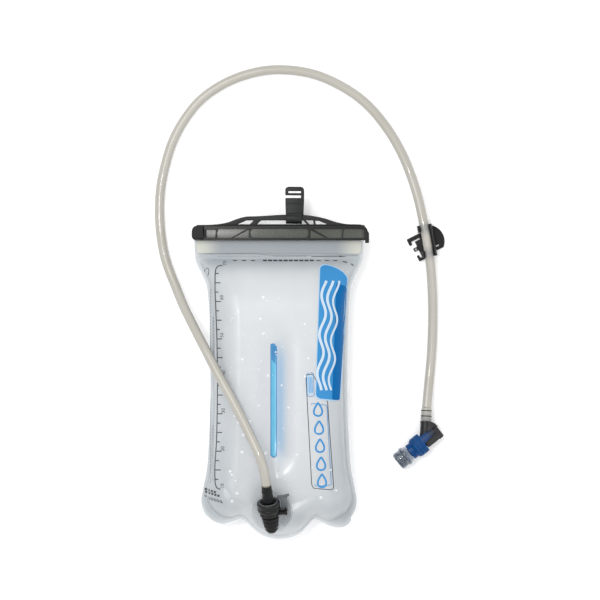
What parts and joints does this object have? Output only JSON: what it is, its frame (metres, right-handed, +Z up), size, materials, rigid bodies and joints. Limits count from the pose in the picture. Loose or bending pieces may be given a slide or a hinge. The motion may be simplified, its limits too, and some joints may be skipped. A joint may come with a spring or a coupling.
{
  "type": "hydration bladder",
  "caption": "Flat-lying film water reservoir with a slide-on top closure, webbing hook, quick-connect port, long drink tube with clip, and a twist shut-off bite valve.",
  "frame": {"origin": "middle of the footprint of the reservoir with its closure and hook, on the surface it lies on", "axes": "+Y from the reservoir's foot to the hang hook, +Z up out of the front film, +X to the right seen from the front"},
  "size_m": [0.2904, 0.4745, 0.0863],
  "materials": {
    "film": "clear film, slightly frosted",
    "cream": "satin",
    "sky": "satin",
    "clear": "clear moulding",
    "black": "satin",
    "smoke": "smoke grey, slightly clear",
    "rubber": "matte",
    "steel": "drawn wire",
    "hose": "flexible, milky",
    "blue": "gloss",
    "brown": "satin",
    "silicone": "clear silicone"
  },
  "bodies": {
    "reservoir": {"bag_front_panel": "film", "bag_back_panel": "film", "mouth_strip_front": "cream", "mouth_strip_back": "cream", "baffle_key": "sky", "baffle_channel": "sky", "port_housing": "clear", "lock_collar": "black", "valve_seat": "black", "check_spring": "steel", "release_spring": "steel"},
    "closure": {"slide_rail": "smoke", "rail_handle": "black"},
    "hook": {"hang_hook": "black"},
    "button": {"release_button": "black"},
    "poppet": {"check_poppet": "black", "poppet_seal": "rubber"},
    "hose": {"plug_body": "black", "plug_oring_1": "rubber", "plug_oring_2": "rubber", "tube_end_port": "hose", "drink_tube": "hose", "tube_end_valve": "hose"},
    "clip": {"hose_clip": "black"},
    "strap": {"strap_hook": "black"},
    "elbow": {"valve_elbow": "brown", "elbow_oring": "rubber"},
    "shutoff": {"shutoff_collar": "blue", "valve_stem": "blue"},
    "bite": {"bite_valve": "silicone"}
  },
  "joints": [
    {"name": "closure_slide", "type": "slide", "parent": "reservoir", "child": "closure", "axis": [-1, 0, 0], "range_m": [0, 0.18]},
    {"name": "hook_swing", "type": "hinge", "parent": "closure", "child": "hook", "pos_m": [0.0143, 0.1444, 0.0286], "axis": [1, 0, 0], "range_deg": [-100, 100]},
    {"name": "release_press", "type": "slide", "parent": "reservoir", "child": "button", "axis": [-0.9928, -0.12, 0], "range_m": [0, 0.0018], "stiffness_N_per_m": 500, "springref_m": -0.003, "deforming": ["release_spring"]},
    {"name": "unplug", "type": "slide", "parent": "reservoir", "child": "hose", "axis": [-0.106, 0.8769, 0.4689], "range_m": [0, 0.022]},
    {"name": "check_travel", "type": "slide", "parent": "reservoir", "child": "poppet", "axis": [-0.106, 0.8769, 0.4689], "range_m": [0, 0.0026], "deforming": ["check_spring"]},
    {"name": "clip_slide", "type": "slide", "parent": "hose", "child": "clip", "axis": [0.1859, -0.9826, 0], "range_m": [-0.006, 0.006]},
    {"name": "strap_turn", "type": "hinge", "parent": "clip", "child": "strap", "pos_m": [0.1476, 0.1214, 0.0002], "axis": [0, 0, 1], "continuous": true},
    {"name": "elbow_turn", "type": "hinge", "parent": "hose", "child": "elbow", "pos_m": [0.1457, -0.0586, 0.0105], "axis": [0.0517, 0.998, -0.037], "range_deg": [0, 180]},
    {"name": "shutoff_twist", "type": "hinge", "parent": "elbow", "child": "shutoff", "pos_m": [0.1168, -0.10015, 0.0105], "axis": [0.783, 0.622, 0], "range_deg": [0, 90]},
    {"name": "bite_pull", "type": "slide", "parent": "shutoff", "child": "bite", "axis": [-0.783, -0.622, 0], "range_m": [0, 0.013]}
  ],
  "couplings": [
    {"joint": "check_travel", "follows": "unplug", "ratio": 0.118}
  ]
}
